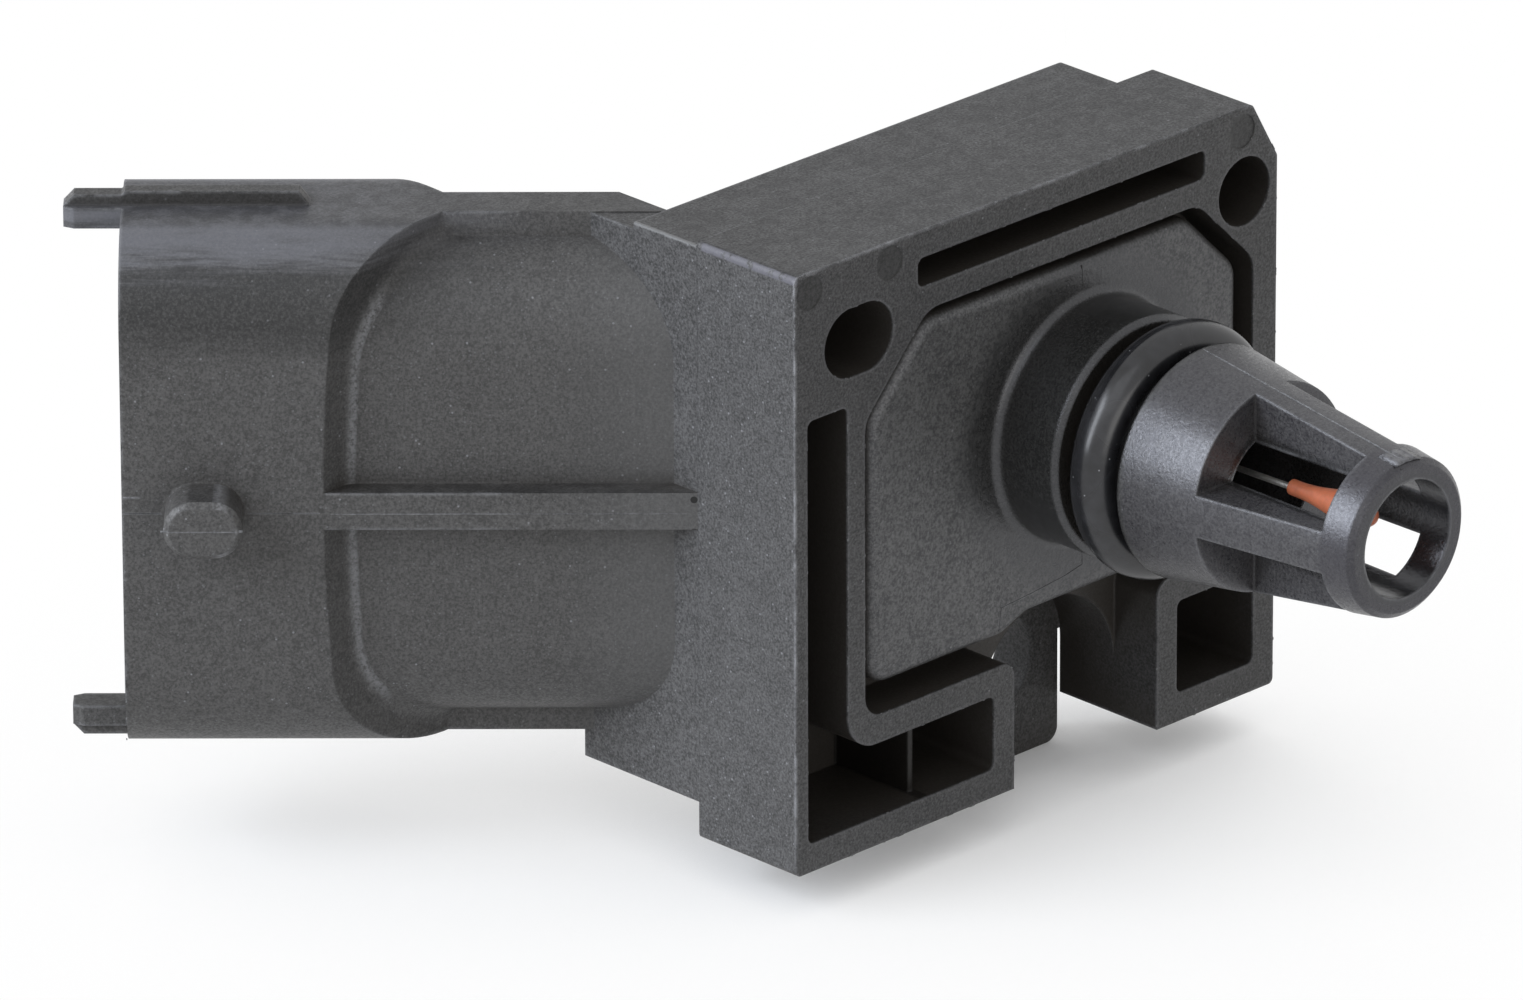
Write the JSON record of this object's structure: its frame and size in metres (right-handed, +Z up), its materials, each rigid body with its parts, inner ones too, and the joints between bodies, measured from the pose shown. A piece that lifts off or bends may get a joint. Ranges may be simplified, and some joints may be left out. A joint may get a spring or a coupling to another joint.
{
  "type": "manifold absolute pressure sensor",
  "caption": "Dark moulded pressure and temperature sensor: ribbed flange with a screw lug, caged nozzle with an O-ring, and a deep keyed connector at 45 degrees.",
  "frame": {"origin": "where the nozzle's axis meets the mounting plane, which is the flange's front face", "axes": "-Y along the nozzle, into the manifold; +Z up, away from the screw lug; +X to the right seen from the front, away from the connector"},
  "size_m": [0.0611, 0.0654, 0.0391],
  "materials": {
    "housing_plastic": "matt moulded, glass filled",
    "port_plastic": "matt moulded, glass filled",
    "ring_rubber": "smooth black rubber",
    "sealing_glue": "cured silicone",
    "terminal_metal": "tin plated, smooth",
    "terminal_compound": "cured silicone",
    "board_ceramic": "fired white ceramic",
    "board_glue": "cured silicone",
    "pedestal_glass": "ground glass",
    "die_silicon": "polished silicon",
    "dam_plastic": "moulded plastic",
    "clear_gel": "soft clear gel",
    "chip_plastic": "moulded black",
    "capacitor_ceramic": "brown ceramic",
    "bond_metal": "bright ribbon",
    "lead_metal": "tinned wire",
    "bead_epoxy": "dipped terracotta epoxy",
    "solder_metal": "solder"
  },
  "bodies": {
    "root": {"housing": "housing_plastic", "connector_shroud": "housing_plastic", "pressure_port": "port_plastic", "o_ring": "ring_rubber", "port_sealant": "sealing_glue", "terminal_1": "terminal_metal", "terminal_2": "terminal_metal", "terminal_3": "terminal_metal", "terminal_4": "terminal_metal", "terminal_sealant": "terminal_compound", "circuit_board": "board_ceramic", "board_adhesive": "board_glue", "glass_pedestal": "pedestal_glass", "pressure_die": "die_silicon", "gel_ring": "dam_plastic", "protective_gel": "clear_gel", "signal_chip": "chip_plastic", "filter_capacitors": "capacitor_ceramic", "terminal_bonds": "bond_metal", "ntc_lead_upper": "lead_metal", "ntc_lead_lower": "lead_metal", "ntc_bead": "bead_epoxy", "ntc_solder_joints": "solder_metal"}
  },
  "joints": []
}
